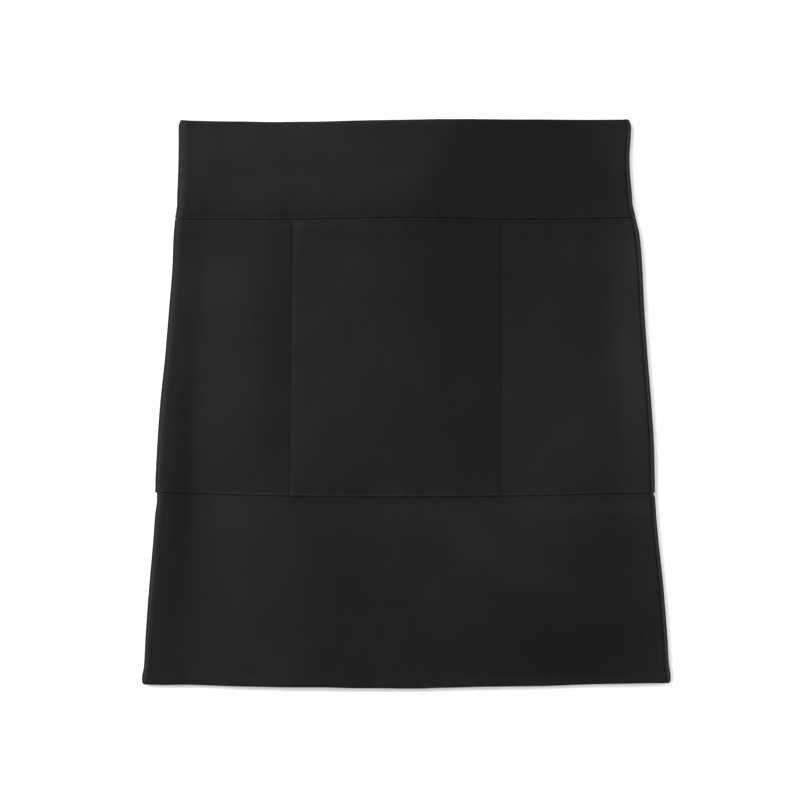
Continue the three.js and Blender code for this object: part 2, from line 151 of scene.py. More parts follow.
FACE = 2.1  # the usual size of the cloth's faces
EDGE_ROUND = 0.2  # rounding of the waistband's lower edge and the pocket's mouth
BACK_CLIMB = 4 * HEM_TURN  # the height over which the layers behind climb over the pocket's foot
FLAT_ENDS = 0.05  # share of the front's width at each fold that has no small unevenness
ALMOST_ROUND = 0.98  # keeps a rounded corner from starting with an endless slope
PRESSED_IN = 0.12  # how far the pocket may sink into its clearance
LEAST_CLOTH = 0.55  # the least thickness that a groove leaves
# The cloth's unevenness: its height, then the size of its waves across and up
DRAPE = (0.26, 74, 150)
SLACK = (0.13, 30, 46)
HANDLE = (0.05, 11, 13)
# Each line of stitches, from the edge beside it
FOOT_STITCH = 2.4
MOUTH_STITCHES = (4.0, 13.8)
WAIST_STITCH = 2.2
HEM_STITCH = 9.2
STITCH_GROOVE = 0.9  # how wide a line of stitches presses the cloth in
EASED_LEFT, EASED_RIGHT = 3.2, 2.6  # how wide the two dividers' grooves ease out on their right
# The back-stitched ends of the left divider: how far in, and how long
MOUTH_PIT = (1.6, 1.7)
FOOT_PIT = (5.2, 1.6)
# Where the waistband's lower edge gapes: from the middle, how wide, how far, and how close it lies elsewhere
GAPE_AT, GAPE_WIDTH, GAPE, CLOSE = 92, 34, 0.36, 0.32


def clamp(x):
    return np.clip(x, 0.0, 1.0)


def smooth(x):
    t = clamp(x)
    return t * t * t * (t * (6 * t - 15) + 10)


def mix(a, b, share):
    return a + (b - a) * share


def curve(xs, ys, x):
    """A smooth curve through points that stays between each two of them. ys may hold a row of arrays."""
    xs = np.asarray(xs, float)
    ys = [np.asarray(y, float) for y in ys]
    slope = [(ys[i + 1] - ys[i]) / (xs[i + 1] - xs[i]) for i in range(len(xs) - 1)]
    zero = np.zeros_like(slope[0])
    tangent = [zero]
    for before, after in zip(slope, slope[1:]):
        product = before * after
        with np.errstate(divide="ignore", invalid="ignore"):
            harmonic = 2 * product / (before + after)
        tangent.append(np.where(product > 0, harmonic, 0.0))
    tangent.append(zero)
    x = np.clip(np.asarray(x, float), xs[0], xs[-1])
    out = np.zeros(np.broadcast(x, ys[0]).shape)
    for i in range(len(xs) - 1):
        span = xs[i + 1] - xs[i]
        t = clamp((x - xs[i]) / span)
        t2, t3 = t * t, t * t * t
        value = (
            ys[i] * (2 * t3 - 3 * t2 + 1)
            + ys[i + 1] * (3 * t2 - 2 * t3)
            + span * (tangent[i] * (t3 - 2 * t2 + t) + tangent[i + 1] * (t3 - t2))
        )
        inside = (x >= xs[i]) & ((x < xs[i + 1]) | (i == len(xs) - 2))
        out = np.where(inside, value, out)
    return out


def column(table, n, x):
    return curve([row[0] for row in table], [row[n] for row in table], x)


def lattice(ix, iy, seed):
    """A direction for each corner of the noise's grid, from an integer hash."""
    n = (ix * 374761393 + iy * 668265263 + seed * 974634777) & 0xFFFFFFFF
    n = ((n ^ (n >> 13)) * 1274126177) & 0xFFFFFFFF
    return ((n ^ (n >> 16)) & 0xFFFF) / 65536.0 * 2 * np.pi


def noise(x, y, seed=1):
    """Smooth noise from about -1 to 1, a period of 1 in x and y."""
    x, y = np.broadcast_arrays(np.asarray(x, float), np.asarray(y, float))
    x0, y0 = np.floor(x), np.floor(y)
    fx, fy = x - x0, y - y0
    ix, iy = x0.astype(np.int64), y0.astype(np.int64)
    sx, sy = smooth(fx), smooth(fy)

    def corner(dx, dy):
        angle = lattice(ix + dx, iy + dy, seed)
        return np.cos(angle) * (fx - dx) + np.sin(angle) * (fy - dy)

    low = mix(corner(0, 0), corner(1, 0), sx)
    high = mix(corner(0, 1), corner(1, 1), sx)
    return 1.5 * mix(low, high, sy)


def corner_inset(radius, distance):
    """How far a rounded corner comes in at a distance from its end."""
    left = np.maximum(0, radius - np.maximum(0, distance))
    return radius - np.sqrt(radius * radius - left * left * ALMOST_ROUND)


def ply_opening(q, v):
    """How far each ply of the waistband stands off the middle: over the panel, over a tie, or at rest."""
    over_lap = 1 - smooth((v - SKIRT_LENGTH - SEAM_LAP - CLOTH) / (SEAM_LAP / 2))
    from_end = np.minimum(q, 7 - q) / TIE_SHARE
    round_tie = 1 - smooth((from_end - 1) / 2)
    opening = mix(PLY_REST, OVER_PANEL, over_lap)
    return mix(opening, TIE_OPENING, round_tie * (1 - over_lap))


def stand_off(v):
    """How far the outermost layer stands off the panel's middle, so that it keeps the photographed width."""
    pocket = mix(CLOTH / 2, COVERED, smooth(1 + (v - POCKET_FOOT) / (HEM_TURN / 2)))
    return np.where(v > SKIRT_LENGTH, ply_opening(3.0, v) + CLOTH, pocket)


def height_facts(v):
    """What holds all round the apron at height v: the folds, the free edges behind and the left divider."""
    up = np.where(v < SKIRT_LENGTH, v / SKIRT_LENGTH, 1 + (v - SKIRT_LENGTH) / BAND_HEIGHT)
    taper = (WAIST_WIDTH - HEM_WIDTH) / 2
    inset = corner_inset(WAIST_CORNER, TOP - v) + corner_inset(HEM_CORNER, v) + stand_off(v)
    back = mix(CLOTH / 2, BACK_LEVEL, smooth(1 + (v - POCKET_FOOT) / BACK_CLIMB))
    # the back climbs over the pocket's foot at once, the front does so all the way up from the hem
    gentle = mix(CLOTH / 2, BACK_LEVEL, smooth(v / POCKET_FOOT))
    left_radius = LEFT_FOLD_RADIUS * column(SECTIONS, 3, up) + (gentle - back) / 2
    right_radius = RIGHT_FOLD_RADIUS * column(SECTIONS, 4, up) + (gentle - back) / 2
    left_axis = -(HEM_WIDTH / 2 + taper * column(SECTIONS, 1, up) - inset) + left_radius
    right_axis = HEM_WIDTH / 2 + taper * column(SECTIONS, 2, up) - inset - right_radius
    flap = (FLAT_WIDTH - (right_axis - left_axis) - math.pi * (left_radius + right_radius)) / 2
    free = (left_axis + flap, right_axis - flap)
    right_axis = right_axis + (1 - PRESS) * right_radius
    lean = DIVIDER_LEAN * clamp((SKIRT_LENGTH - v) / POCKET_DEPTH)
    return up, back, left_radius, right_radius, left_axis, right_axis, free, -LEFT_DIVIDER - lean


def fine_relief(x, v):
    """The cloth's own small unevenness, which every layer follows. Millimetres."""
    skew = 0.3 * noise(v / 160, x / 190, seed=5)
    drape = DRAPE[0] * noise(x / DRAPE[1] + skew, v / DRAPE[2], seed=2)
    slack = SLACK[0] * noise(x / SLACK[1], v / SLACK[2], seed=3)
    handle = HANDLE[0] * noise(x / HANDLE[1], v / HANDLE[2], seed=4)
    return drape + slack + handle


def front_height(x, v, facts):
    back, left_radius, right_radius, left_axis, right_axis = facts[1:6]
    share = (x - left_axis) / (right_axis - left_axis)
    ends = back + 2 * mix(left_radius, right_radius, smooth(share))
    fade = smooth(share / LEFT_SHOULDER) * (1 - clamp(1 - (1 - share) / RIGHT_SHOULDER) ** 4)
    swell = 0
    for across, height, wide, tall, turn, rise in SWELLS:
        dx, dy = x - across * HEM_WIDTH / 2, v - height * TOP
        c, s = math.cos(math.radians(turn)), math.sin(math.radians(turn))
        along = (dx * c + dy * s) / (wide * HEM_WIDTH / 2)
        beside = (dy * c - dx * s) / (tall * HEM_WIDTH / 2)
        swell = swell + rise * np.exp(-along * along - beside * beside)
    inside = smooth(share / FLAT_ENDS) * smooth((1 - share) / FLAT_ENDS)
    return ends + SWELL * swell * fade + inside * fine_relief(x, v)


def surface(q, v):
    """The panel's middle surface. q runs round the apron, from the left edge behind at 0 to the right one at
    7, with a whole number at each fold and divider. v is the height above the hem."""
    q, v = np.broadcast_arrays(np.asarray(q, float), np.asarray(v, float))
    facts = height_facts(v)
    up, back, left_radius, right_radius, left_axis, right_axis, free, left_divider = facts
    stops = [free[0], left_axis, left_axis, left_divider, RIGHT_DIVIDER, right_axis, right_axis, free[1]]
    at = np.clip(np.floor(q), 0, 6).astype(int)
    share = q - at
    x = mix(np.choose(at, stops[:-1]), np.choose(at, stops[1:]), share)
    left_turn, right_turn = at == 1, at == 5
    x = np.where(left_turn, left_axis - left_radius * np.sin(np.pi * share), x)
    x = np.where(right_turn, right_axis + PRESS * right_radius * np.sin(np.pi * share), x)
    z = np.where((at >= 2) & (at < 5), front_height(x, v, facts), back)
    z = np.where(left_turn, back + left_radius * (1 - np.cos(np.pi * share)), z)
    z = np.where(right_turn, back + right_radius * (1 + np.cos(np.pi * share)), z)
    bows = [column(BOWS, n + 1, up) for n in range(5)]
    y = v - MIDDLE_Y + EDGE_BOW * curve(BOWS_ACROSS, bows, x / (HEM_WIDTH / 2))
    return np.stack([x, y, z], -1)


def off_surface(q, v, n):
    """Points at distance n off the panel's middle, out of the front and round behind."""
    q, v, n = np.broadcast_arrays(np.asarray(q, float), np.asarray(v, float), np.asarray(n, float))
    # steps round and up, for the slope there
    dq, dv = 0.004, 0.6
    along = surface(np.minimum(7, q + dq), v) - surface(np.maximum(0, q - dq), v)
    rise = surface(q, v + dv) - surface(q, v - dv)
    normal = np.cross(along, rise)
    normal /= np.linalg.norm(normal, axis=-1, keepdims=True)
    return surface(q, v) + normal * n[..., None]


def on_front(q):
    """1 on the front, 0 behind."""
    return smooth(q - 1) * smooth(6 - q)


def x_of(q, v):
    return surface(q, v)[..., 0]


def stations():
    """Places round the apron for its rows of points, close together beside the dividers."""
    mid = height_facts(np.array(POCKET_FOOT + POCKET_DEPTH / 2))
    left_axis, right_axis, left_divider = (float(mid[i]) for i in (4, 5, 7))
    beside = [0.35, 0.75, 1.25, 1.9, 2.8, 4.0, 5.6]
    fold_steps, behind_steps = 16, 28

    def stretch(start, a, b, dense_a, dense_b):
        length = b - a
        low = beside if dense_a else []
        high = [length - d for d in beside] if dense_b else []
        first = beside[-1] if dense_a else 0.0
        last = length - beside[-1] if dense_b else length
        count = max(1, round((last - first) / FACE))
        middle = [first + (last - first) * i / count for i in range(count + 1)]
        places = sorted({0.0, length, *low, *high, *middle})
        return [start + d / length for d in places][:-1]

    behind = [TIE_SHARE * s for s in (0.25, 0.5, 0.75, 1.0)]
    behind += [TIE_SHARE + (1 - TIE_SHARE) * i / behind_steps for i in range(1, behind_steps)]
    fold = [i / fold_steps for i in range(fold_steps)]
    out = [0.0, *behind]
    out += [1 + s for s in fold]
    out += stretch(2, left_axis, left_divider, False, True)
    out += stretch(3, left_divider, RIGHT_DIVIDER, True, True)
    out += stretch(4, RIGHT_DIVIDER, right_axis, True, False)
    out += [5 + s for s in fold]
    out += [6.0] + [7 - s for s in reversed(behind)] + [7.0]
    return np.array(out)


Q = stations()


def spaced(a, b, step):
    """Places from a to b, about one step apart."""
    count = max(1, round(abs(b - a) / step))
    return [a + (b - a) * i / count for i in range(count + 1)]


def arc(v, n, radius_v, radius_n, start, end, steps):
    """Points of a rounded edge in the (v, n) plane. Angles in degrees, 0 towards +v, 90 towards +n."""
    out = []
    for i in range(steps + 1):
        angle = math.radians(start + (end - start) * i / steps)
        out.append((v + radius_v * math.cos(angle), n + radius_n * math.sin(angle)))
    return out


def tube_faces(rings, around, start=0):
    """The faces of a row of rings, each with as many points around, closed at both ends."""
    faces = []
    for low in range(start, start + (rings - 1) * around, around):
        for j in range(around):
            k = (j + 1) % around
            faces.append((low + j, low + k, low + around + k, low + around + j))
    last = start + (rings - 1) * around
    faces.append(tuple(start + j for j in reversed(range(around))))
    faces.append(tuple(last + j for j in range(around)))
    return faces


def new_object(name, verts, faces, material, uv=None):
    """A piece of the apron. verts and uv are in millimetres."""
    mesh = bpy.data.meshes.new(name)
    mesh.from_pydata([tuple(p) for p in np.asarray(verts) / MM], [], faces)
    if uv is not None:
        layer = mesh.uv_layers.new(name="cloth")
        loops = np.zeros(len(mesh.loops), np.int32)
        mesh.loops.foreach_get("vertex_index", loops)
        layer.data.foreach_set("uv", (np.asarray(uv)[loops] / MM).ravel())
    mesh.validate()
    bm = bmesh.new()
    bm.from_mesh(mesh)
    bmesh.ops.recalc_face_normals(bm, faces=bm.faces)
    bm.to_mesh(mesh)
    bm.free()
    for polygon in mesh.polygons:
        polygon.use_smooth = True
    obj = bpy.data.objects.new(name, mesh)
    bpy.context.scene.collection.objects.link(obj)
    mesh.materials.append(material)
    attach(obj, "root")
    return obj


def wrap(name, ring, offset, material):
    """A closed layer of cloth round the apron. ring is its outline in the (v, n) plane, in order, and
    offset(q, v, n) moves each point of it."""
    v = np.array([p[0] for p in ring])[None, :]
    n = np.array([p[1] for p in ring])[None, :]
    q = Q[:, None]
    dv, total = offset(q, v, n)
    points = off_surface(q, v + dv, total)
    # the cloth's own flat coordinates, across and up, for the weave
    steps = np.linalg.norm(np.diff(points[:, 0], axis=0), axis=1)
    across = np.concatenate([[0], np.cumsum(steps)])[:, None]
    uv = np.stack(np.broadcast_arrays(across, v), -1)
    faces = tube_faces(len(Q), len(ring))
    return new_object(name, points.reshape(-1, 3), faces, material, uv=uv.reshape(-1, 2))


def near(distance, width):
    """1 at a place, dying away over the width on both sides."""
    return np.exp(-((distance / width) ** 2))


def groove(distance, depth, width):
    """A stitched line sinks into the cloth."""
    return -depth * near(distance, width)


def wander(x, height, length, seed):
    """How an edge wanders along its length."""
    return height * noise(x / length, 0.5, seed)


def pucker(along, distance, height, length, reach, seed):
    """Small gathers along a seam that die away from it."""
    wave = noise(along / length, 0.15 * distance / reach, seed)
    return height * wave * np.exp(-np.abs(distance) / reach)


def divider_relief(v, x):
    """The two lines of stitching that divide the pocket, deeper and wider at the mouth on the left. Each is
    steep on its left and eases out on its right."""
    left, right = x - height_facts(v)[7], x - RIGHT_DIVIDER
    open_top = np.exp(-9 * clamp((POCKET_MOUTH - v) / POCKET_DEPTH))
    ease = np.where(left < 0, 1.0, EASED_LEFT)
    relief = groove(left, depth=0.13 + 0.3 * open_top, width=(0.8 + 0.8 * open_top) * ease)
    # the back-stitched ends of the left line pull small pits into the cloth
    mouth_end = near(POCKET_MOUTH - v - MOUTH_PIT[0], MOUTH_PIT[1])
    foot_end = near(v - POCKET_FOOT - FOOT_PIT[0], FOOT_PIT[1])
    relief = relief + mouth_end * groove(left, depth=0.6, width=1.3)
    relief = relief + foot_end * groove(left, depth=0.36, width=1.3)
    relief = relief + groove(right, depth=0.05, width=np.where(right < 0, STITCH_GROOVE, EASED_RIGHT))
    relief = relief + pucker(v, left, height=0.16, length=9, reach=7, seed=21)
    return relief + pucker(v, right, height=0.14, length=8, reach=6, seed=22)


def pocket_puff(q, v):
    """How far each compartment stands off the panel: flat at foot and sides, half as much at the mouth."""
    part = np.floor(q)
    share = q - part
    left_end = np.where(part == 2, smooth(2 * share), 1.0)
    right_end = np.where(part == 4, smooth(2 - 2 * share), 1.0)
    up = (v - POCKET_FOOT) / POCKET_DEPTH
    # full from a third of the way up, and less over the last two fifths
    along = np.sin((np.pi / 2) * clamp(up * 3)) * mix(1, 0.5, smooth((up - 0.6) / 0.4))
    inside = (q > 2) & (q < 5)
    return np.where(inside, POCKET_PUFF * np.sin(np.pi * share) * left_end * right_end * along, 0.0)


def pocket_offset(q, v, n):
    """Where a point of the pocket's outline goes: how far up, and how far off the panel's middle."""
    x = x_of(q, v)
    front = on_front(q)
    outer = np.where(n > OVER_PANEL + CLOTH / 2, 1.0, 0.0)
    above_foot, below_mouth = v - POCKET_FOOT, POCKET_MOUTH - v
    relief = divider_relief(v, x)
    relief = relief + groove(above_foot - FOOT_STITCH, depth=0.08, width=STITCH_GROOVE)
    relief = relief + pucker(x, above_foot, height=0.26, length=8.5, reach=7, seed=31)
    for distance in MOUTH_STITCHES:
        relief = relief + groove(below_mouth - distance, depth=0.05, width=STITCH_GROOVE)
    relief = relief + pucker(x, below_mouth, height=0.22, length=10, reach=9, seed=32)
    # the doubled cloth of the mouth's hem, rounded off at the mouth itself
    ridge = RIDGE * smooth((POCKET_HEM - below_mouth) / 1.6 + 0.5) * smooth(below_mouth + 0.4)
    # the foot's edge stands off the panel a little, here more and there less
    lift = near(above_foot, 2.2) * (0.245 + wander(x, height=0.21, length=60, seed=33))
    total = n + pocket_puff(q, v) + front * ((relief + ridge) * outer + lift)
    total = np.maximum(total, OVER_PANEL - PRESSED_IN + LEAST_CLOTH * outer)
    waver = wander(x, height=0.35, length=46, seed=34) * np.where(above_foot < 3, 1.0, 0.0)
    return front * waver, total


def panel_offset(q, v, n):
    """The same for the panel."""
    x = x_of(q, v)
    front = on_front(q)
    bare = np.where((n > 0) & (v < POCKET_FOOT - 1), 1.0, 0.0)
    relief = pucker(x, v - POCKET_FOOT, height=0.2, length=9, reach=8, seed=41)
    relief = relief + pucker(x, v, height=0.34, length=12, reach=10, seed=42)
    relief = relief + groove(v - HEM_STITCH, depth=0.05, width=STITCH_GROOVE)
    waver = wander(x, height=0.45, length=38, seed=43) * np.exp(-v / 6)
    return front * waver, n + front * relief * bare


def band_offset(q, v, n):
    """The same for the waistband."""
    x = x_of(q, v)
    front = on_front(q)
    above_seam = v - SKIRT_LENGTH
    opening = ply_opening(q, v)
    # the outer ply comes down off the panel's upper edge slowly
    eased = mix(OVER_PANEL, PLY_REST, smooth((above_seam - SEAM_LAP) / (BAND_HEIGHT - 2 * SEAM_LAP)))
    opening = np.where(n > 0, np.maximum(opening, eased), opening)
    total = n + np.sign(n) * (opening - PLY_REST)
    relief = groove(above_seam - WAIST_STITCH, depth=0.07, width=STITCH_GROOVE)
    relief = relief + pucker(x, above_seam, height=0.24, length=11, reach=10, seed=51)
    relief = relief + pucker(x, TOP - v, height=0.16, length=16, reach=9, seed=52)
    outer = np.where(n > PLY_REST + 0.6 * CLOTH, 1.0, 0.0)
    # the lower edge rides closely over the pocket's mouth, and gapes a little right of the middle
    gape = np.maximum(0, wander(x, height=0.22, length=40, seed=53))
    gape = gape + GAPE * near(x - GAPE_AT, GAPE_WIDTH) - CLOSE
    waver = gape * np.where(above_seam < 3, 1.0, 0.0)
    waver = waver + wander(x, height=0.3, length=44, seed=54) * np.exp((v - TOP) / 5)
    return front * waver, total + front * outer * relief


def panel_ring():
    """The panel's outline in the (v, n) plane, with its hem turned up behind."""
    half = CLOTH / 2
    inside = -half - CLOTH
    # rows up the front, closest by the hem's stitches and the pocket's foot
    front = [0.9, 1.7, *spaced(2.8, POCKET_FOOT - 6, FACE)]
    front = sorted([*front, HEM_STITCH - 0.8, HEM_STITCH, HEM_STITCH + 0.8])
    front += spaced(POCKET_FOOT - 4.5, POCKET_FOOT + 3, 1.5)
    front += spaced(POCKET_FOOT + 12, POCKET_MOUTH, 11)
    front += [SKIRT_LENGTH + SEAM_LAP * 0.5]
    fold = arc(0.9, (half + inside) / 2, 0.9, (half - inside) / 2, 270, 90, 8)
    top = arc(SKIRT_LENGTH + SEAM_LAP - 0.5, 0, 0.5, half, 90, -90, 4)
    back = [SKIRT_LENGTH + SEAM_LAP * 0.5, *spaced(POCKET_MOUTH, HEM_TURN + 6, 11)]
    turn = [(HEM_TURN + 0.9, -half), (HEM_TURN + 0.1, -half - 0.35), (HEM_TURN - 0.3, inside + 0.3)]
    turn += [(HEM_TURN - 0.9, inside), (HEM_TURN * 0.5, inside)]
    front = [(v, half) for v in front[1:]]
    return fold + front + top + [(v, -half) for v in back] + turn


def pocket_ring():
    """The pocket's outline, folded at its foot and rounded at its mouth."""
    low, high = OVER_PANEL, COVERED
    mid, radius = (low + high) / 2, CLOTH / 2
    # rows up the front, closest by the stitches at the foot and below the mouth
    front = [0.7, 1.2, 1.8, 2.4, 3.0, 3.6, 4.6, *spaced(6.2, POCKET_DEPTH - 19, FACE)]
    below_mouth = [17.5, 16.2, 15.6, 15.0, 14.5, 13.8, 13.1, 12.0, 10.0]
    below_mouth += [8.0, 6.0, 5.0, 4.4, 4.0, 3.6, 2.8, 1.8, 1.1]
    front += [POCKET_DEPTH - d for d in below_mouth]
    foot = arc(POCKET_FOOT + radius, mid, radius, radius, 270, 90, 6)
    mouth = arc(POCKET_MOUTH - EDGE_ROUND, mid, EDGE_ROUND, radius, 90, -90, 6)
    back = spaced(POCKET_DEPTH - 3, 3, 10)
    return (
        foot
        + [(POCKET_FOOT + v, high) for v in front]
        + mouth
        + [(POCKET_FOOT + v, low) for v in back]
    )


def band_ring():
    """The waistband's outline: two plies that meet in the fold at the top."""
    low, high = PLY_REST, PLY_REST + CLOTH
    mid, radius = (low + high) / 2, CLOTH / 2
    # rows up the front, closest by the seam
    front = [0.8, 1.3, 1.8, 2.2, 2.7, 3.4, 4.4, 6.0, *spaced(8.0, BAND_HEIGHT - 5, FACE)]
    front = [SKIRT_LENGTH + v for v in front]
    edge = arc(SKIRT_LENGTH + EDGE_ROUND, mid, EDGE_ROUND, radius, 270, 90, 6)
    turn = arc(TOP - high, 0, high, high, 90, -90, 12)
    behind = [TOP - 5, *spaced(TOP - 10, SKIRT_LENGTH + 6, 8), SKIRT_LENGTH + 2]
    inner = [SKIRT_LENGTH + 2, *spaced(SKIRT_LENGTH + 6, TOP - 10, 8), TOP - 4]
    back_edge = [(v, -n) for v, n in reversed(edge)]
    inner_turn = arc(TOP - high, 0, low, low, -90, 90, 4)
    return (
        edge
        + [(v, high) for v in front]
        + turn
        + [(v, -high) for v in behind]
        + back_edge
        + [(v, -low) for v in inner]
        + inner_turn
        + [(v, low) for v in reversed(inner)]
    )


# Materials. A pattern's size is in millimetres.

RIB_SPACING = 0.8727  # a real rib is about 0.5 wide, and is drawn coarser so that it shows
RIB_LEAN = 58  # degrees
RIB_HEIGHT = 0.12
YARNS_PER_MM = 2.6
SLUB_LENGTH = 2.0  # the thicker stretches of a yarn
DYE_CLOUD = 47.6
LINT_SPACING = 1.818
THREAD_TWIST = 1.111  # coarser than the real 0.4, so that it shows
THREAD_HEIGHT = 0.1
PAPER_CLOUD = 16.67
WAVE_TURN = 20  # the wave texture's own angle in each unit, in radians
TWILL_ROUGHNESS = 0.42
# The specular level, 0.5 for a smooth fibre's own IOR, matched to the object: a nap hides most of the gloss
TWILL_GLOSS = 0.086
THREAD_GLOSS = 0.12
PAPER_GLOSS = 0.1


def srgb(code):
    """A hex colour as the linear values that Blender works in."""
    parts = [int(code[i : i + 2], 16) / 255 for i in (1, 3, 5)]
    linear = [c / 12.92 if c <= 0.04045 else ((c + 0.055) / 1.055) ** 2.4 for c in parts]
    return (*linear, 1.0)


def node(tree, kind, inputs=(), stops=(), **settings):
    """Adds a node. inputs holds values and sockets to link, stops the places and colours of a ramp."""
    made = tree.nodes.new(kind)
    for key, value in settings.items():
        setattr(made, key, value)
    for key, value in dict(inputs).items():
        if isinstance(value, bpy.types.NodeSocket):
            tree.links.new(value, made.inputs[key])
        else:
            made.inputs[key].default_value = value
    if stops:
        elements = made.color_ramp.elements
        while len(elements) < len(stops):
            elements.new(0.5)
        for element, (place, code) in zip(elements, stops):
            element.position = place
            element.color = srgb(code)
    return made


def new_material(name):
    material = bpy.data.materials.new(name)
    material.use_nodes = True
    material.node_tree.nodes.clear()
    return material


def black_twill(name):
    """Cotton-blend twill, woven in steep diagonal ribs and dyed black in the piece. To the eye it is a soft
    matt black, a little lighter where it leans towards the lamp, with faint ribs that have painted shade in
    their grooves, uneven dye and lint."""
    material = new_material(name)
    tree = material.node_tree
    uv = node(tree, "ShaderNodeUVMap", uv_map="cloth").outputs["UV"]
    in_mm = (MM, MM, MM)
    in_yarns = (YARNS_PER_MM * MM, MM / SLUB_LENGTH, MM)
    lean = (0, 0, math.radians(RIB_LEAN))
    flat = node(tree, "ShaderNodeMapping", {"Vector": uv, "Scale": in_mm}).outputs["Vector"]
    slanted = {"Vector": uv, "Rotation": lean, "Scale": in_mm}
    turned = node(tree, "ShaderNodeMapping", slanted).outputs["Vector"]
    drawn = node(tree, "ShaderNodeMapping", {"Vector": uv, "Scale": in_yarns}).outputs["Vector"]
    rib = node(
        tree,
        "ShaderNodeTexWave",
        {
            "Vector": turned,
            "Scale": 2 * math.pi / (WAVE_TURN * RIB_SPACING),
            "Distortion": 0.9,
            "Detail": 1.5,
            "Detail Scale": 1.4,
        },
        wave_type="BANDS",
        bands_direction="X",
    ).outputs["Fac"]
    patterns = []
    for place, scale, detail, roughness in (
        (drawn, 1.0, 3.0, 0.6),
        (flat, 1 / DYE_CLOUD, 4.0, 0.55),
        (flat, 1 / LINT_SPACING, 2.0, 0.7),
    ):
        settings = {"Vector": place, "Scale": scale, "Detail": detail, "Roughness": roughness}
        patterns.append(node(tree, "ShaderNodeTexNoise", settings).outputs["Fac"])
    yarn, dye, lint = patterns
    tone = 0.0
    for pattern, share in ((dye, 0.55), (yarn, 0.3), (lint, 0.15)):
        terms = {0: pattern, 1: share, 2: tone}
        tone = node(tree, "ShaderNodeMath", terms, operation="MULTIPLY_ADD").outputs[0]
    dyed = node(tree, "ShaderNodeValToRGB", {"Fac": tone}, stops=[(0.3, "#0a0a0a"), (0.7, "#101010")])
    # painted shade: the rib pattern darkens the dyed colour in the grooves between the ribs, where the yarns
    # shade them
    painted_rib_shade = node(tree, "ShaderNodeValToRGB", {"Fac": rib}, stops=[(0.15, "#b3b3b3"), (0.7, "#ffffff")])
    colours = {"Fac": 0.3, "Color1": dyed.outputs["Color"], "Color2": painted_rib_shade.outputs["Color"]}
    colour_with_painted_rib_shade = node(tree, "ShaderNodeMixRGB", colours, blend_type="MULTIPLY").outputs["Color"]
    span = {"Value": yarn, "To Min": TWILL_ROUGHNESS - 0.06, "To Max": TWILL_ROUGHNESS + 0.06}
    dry = node(tree, "ShaderNodeMapRange", span).outputs["Result"]
    # seen at a slant, the nap's loose fibres spread the light more widely
    facing = node(tree, "ShaderNodeLayerWeight", {"Blend": 0.5}).outputs["Facing"]
    span = {"Value": facing, "From Min": 0.3, "From Max": 0.6, "To Min": 0.0, "To Max": 0.5}
    spread = node(tree, "ShaderNodeMapRange", span, interpolation_type="SMOOTHSTEP").outputs["Result"]
    rough = node(tree, "ShaderNodeMath", {0: dry, 1: spread}, operation="ADD").outputs[0]
    height = node(tree, "ShaderNodeMath", {0: yarn, 1: 0.35, 2: rib}, operation="MULTIPLY_ADD").outputs[0]
    relief = {"Height": height, "Strength": 0.3, "Distance": RIB_HEIGHT / MM}
    bump = node(tree, "ShaderNodeBump", relief).outputs["Normal"]
    shader = node(
        tree,
        "ShaderNodeBsdfPrincipled",
        {
            "Base Color": colour_with_painted_rib_shade,
            "Roughness": rough,
            "Normal": bump,
            "Specular IOR Level": TWILL_GLOSS,
            "Sheen Weight": 0.02,
            "Sheen Roughness": 0.3,
            "Sheen Tint": srgb("#cccccc"),
        },
    )
    node(tree, "ShaderNodeOutputMaterial", {"Surface": shader.outputs["BSDF"]})
    return material


def clouded(name, size, detail, stops, gloss, roughness, relief=0.0):
    """A plain stuff with soft clouds of tone in it, each about size across, and relief high."""
    material = new_material(name)
    tree = material.node_tree
    place = node(tree, "ShaderNodeTexCoord").outputs["Object"]
    clouds = {"Vector": place, "Scale": MM / size, "Detail": detail}
    cloud = node(tree, "ShaderNodeTexNoise", clouds).outputs["Fac"]
    colour = node(tree, "ShaderNodeValToRGB", {"Fac": cloud}, stops=stops).outputs["Color"]
    finish = {"Base Color": colour, "Roughness": roughness, "Specular IOR Level": gloss}
    if relief:
        bumps = {"Height": cloud, "Strength": 0.5, "Distance": relief / MM}
        finish["Normal"] = node(tree, "ShaderNodeBump", bumps).outputs["Normal"]
    shader = node(tree, "ShaderNodeBsdfPrincipled", finish)
    node(tree, "ShaderNodeOutputMaterial", {"Surface": shader.outputs["BSDF"]})
    return material


# One cloth, with a material for each slot of the part
SKIRT_TWILL, POCKET_TWILL, BAND_TWILL, TIE_TWILL = (
    black_twill("black_twill_" + piece) for piece in ("skirt", "pocket", "band", "tie")
)
# Spun polyester thread, dyed black: a shade lighter and smoother than the cloth, so a stitch just shows
THREAD = clouded(
    "black_polyester_thread",
    size=THREAD_TWIST,
    detail=2.0,
    stops=[(0.3, "#0d0d0d"), (0.7, "#171717")],
    gloss=THREAD_GLOSS,
    roughness=0.5,
    relief=THREAD_HEIGHT,
)
# Matt white paper: it reads as pure white, with soft shadows
PAPER = clouded(
    "white_paper_sweep",
    size=PAPER_CLOUD,
    detail=3.0,
    stops=[(0.3, "#f4f4f4"), (0.7, "#f7f7f7")],
    gloss=PAPER_GLOSS,
    roughness=0.9,
)

# Cloth pieces

panel = wrap("panel_cloth", panel_ring(), panel_offset, SKIRT_TWILL)
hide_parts("apron_panel")

pocket = wrap("pocket_cloth", pocket_ring(), pocket_offset, POCKET_TWILL)
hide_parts("pocket_panel")

band = wrap("waistband_cloth", band_ring(), band_offset, BAND_TWILL)
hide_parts("waistband")

# Ties

TIE_STEPS = 12  # faces across a tie
TIE_START_ROWS = 13
TIE_BEND_ROWS = 9
TIE_HANG_ROWS = 110
TIE_INSET = 0.018  # share of the width kept free for the rounded edges
TIE_FILL = 0.94  # share of the thickness
TIE_GROOVE = 0.22  # share of the thickness that the stitching along each edge presses in
TIE_GROOVE_AT = 0.07
TIE_GROOVE_WIDTH = 0.03


